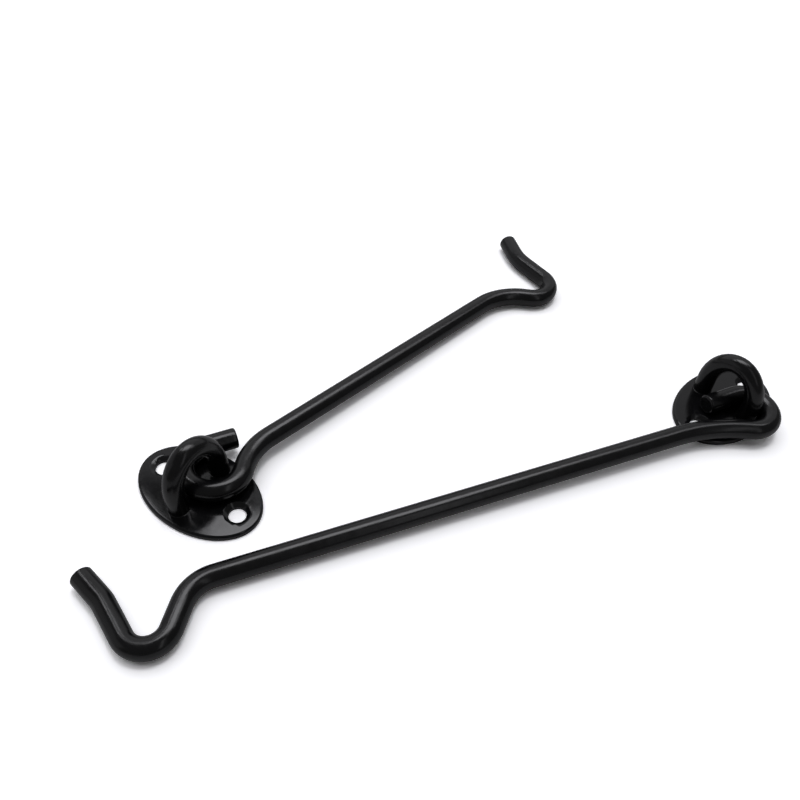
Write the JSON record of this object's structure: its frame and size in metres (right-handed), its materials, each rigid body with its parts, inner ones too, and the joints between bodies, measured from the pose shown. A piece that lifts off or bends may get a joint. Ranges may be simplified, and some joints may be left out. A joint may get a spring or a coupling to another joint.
{
  "type": "hook and eye latch set",
  "caption": "Cabin hooks in two lengths: each a swinging round-bar hook rod, its open eye closed round a staple riveted to an oval plate for two countersunk screws.",
  "frame": {"origin": "centre of the long latch's plate, on its underside", "axes": "+Z out of both plates, away from the surface they are screwed to; -X from the long latch's plate along its hook rod; +Y towards the short latch"},
  "size_m": [0.2078, 0.1151, 0.02],
  "materials": {
    "plate_paint": "gloss black paint",
    "staple_paint": "gloss black paint",
    "rod_paint": "gloss black paint"
  },
  "bodies": {
    "plates": {"long_base_plate": "plate_paint", "long_staple": "staple_paint", "short_base_plate": "plate_paint", "short_staple": "staple_paint"},
    "long_hook": {"long_hook_rod": "rod_paint"},
    "short_hook": {"short_hook_rod": "rod_paint"}
  },
  "joints": [
    {"name": "long_hook_swing", "type": "hinge", "parent": "plates", "child": "long_hook", "pos_m": [0.00249, -0.00721, 0.00515], "axis": [0, 0, 1], "range_deg": [0, 250]},
    {"name": "short_hook_swing", "type": "hinge", "parent": "plates", "child": "short_hook", "pos_m": [-0.14931, 0.02348, 0.00515], "axis": [0, 0, 1], "range_deg": [-24, 170]}
  ]
}
